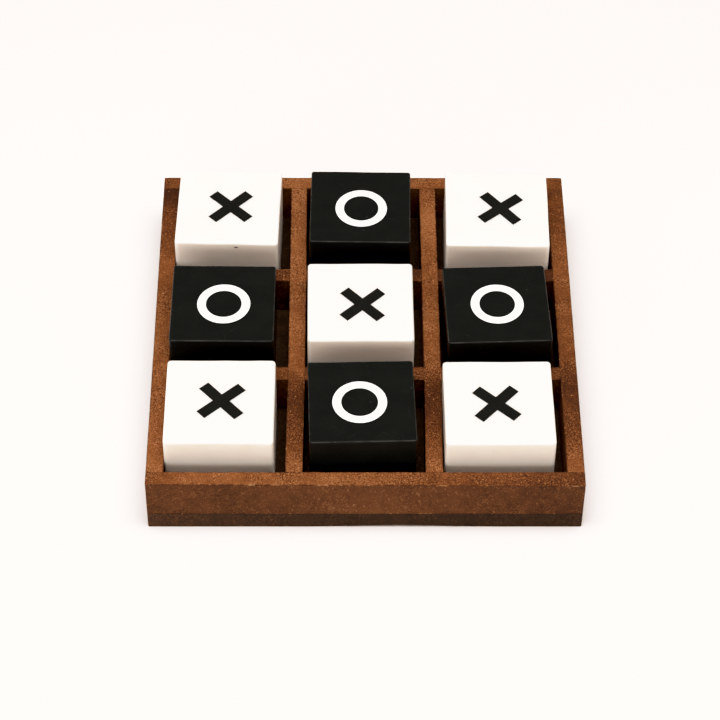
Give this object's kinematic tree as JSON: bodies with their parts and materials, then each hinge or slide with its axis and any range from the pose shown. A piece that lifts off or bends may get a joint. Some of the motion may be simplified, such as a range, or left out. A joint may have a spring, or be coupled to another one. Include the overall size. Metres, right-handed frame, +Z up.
{
  "type": "tic tac toe set",
  "caption": "Low square wooden tray divided into a grid of cells, each holding a loose lift-out square block inlaid on top with a cross or a ring.",
  "frame": {"origin": "middle of the tray's underside", "axes": "+X to the right and +Y to the rear as seen by a player at the front, +Z up, the way the blocks lift out"},
  "size_m": [0.15, 0.15, 0.0332],
  "materials": {
    "rail_wood": "stained and satin, fine speckled grain",
    "divider_wood": "stained and satin, fine speckled grain",
    "base_wood": "dark stained, satin",
    "light_block": "satin cast resin, polished soft edges",
    "dark_block": "satin, finely scratched",
    "dark_mark": "satin, flush with the block",
    "light_mark": "satin, flush with the block"
  },
  "bodies": {
    "tray": {"base_board": "base_wood", "front_rail": "rail_wood", "rear_rail": "rail_wood", "left_rail": "rail_wood", "right_rail": "rail_wood", "long_divider_left": "divider_wood", "long_divider_right": "divider_wood", "cross_divider_rear": "divider_wood", "cross_divider_front": "divider_wood"},
    "x_piece_1": {"x_block_1": "light_block", "x_mark_1": "dark_mark"},
    "x_piece_2": {"x_block_2": "light_block", "x_mark_2": "dark_mark"},
    "x_piece_3": {"x_block_3": "light_block", "x_mark_3": "dark_mark"},
    "x_piece_4": {"x_block_4": "light_block", "x_mark_4": "dark_mark"},
    "x_piece_5": {"x_block_5": "light_block", "x_mark_5": "dark_mark"},
    "o_piece_1": {"o_block_1": "dark_block", "o_mark_1": "light_mark"},
    "o_piece_2": {"o_block_2": "dark_block", "o_mark_2": "light_mark"},
    "o_piece_3": {"o_block_3": "dark_block", "o_mark_3": "light_mark"},
    "o_piece_4": {"o_block_4": "dark_block", "o_mark_4": "light_mark"}
  },
  "joints": [
    {"name": "x_piece_1_lift", "type": "slide", "parent": "tray", "child": "x_piece_1", "axis": [0, 0, 1], "range_m": [0, 0.04]},
    {"name": "x_piece_2_lift", "type": "slide", "parent": "tray", "child": "x_piece_2", "axis": [0, 0, 1], "range_m": [0, 0.04]},
    {"name": "x_piece_3_lift", "type": "slide", "parent": "tray", "child": "x_piece_3", "axis": [0, 0, 1], "range_m": [0, 0.04]},
    {"name": "x_piece_4_lift", "type": "slide", "parent": "tray", "child": "x_piece_4", "axis": [0, 0, 1], "range_m": [0, 0.04]},
    {"name": "x_piece_5_lift", "type": "slide", "parent": "tray", "child": "x_piece_5", "axis": [0, 0, 1], "range_m": [0, 0.04]},
    {"name": "o_piece_1_lift", "type": "slide", "parent": "tray", "child": "o_piece_1", "axis": [0, 0, 1], "range_m": [0, 0.04]},
    {"name": "o_piece_2_lift", "type": "slide", "parent": "tray", "child": "o_piece_2", "axis": [0, 0, 1], "range_m": [0, 0.04]},
    {"name": "o_piece_3_lift", "type": "slide", "parent": "tray", "child": "o_piece_3", "axis": [0, 0, 1], "range_m": [0, 0.04]},
    {"name": "o_piece_4_lift", "type": "slide", "parent": "tray", "child": "o_piece_4", "axis": [0, 0, 1], "range_m": [0, 0.04]}
  ]
}
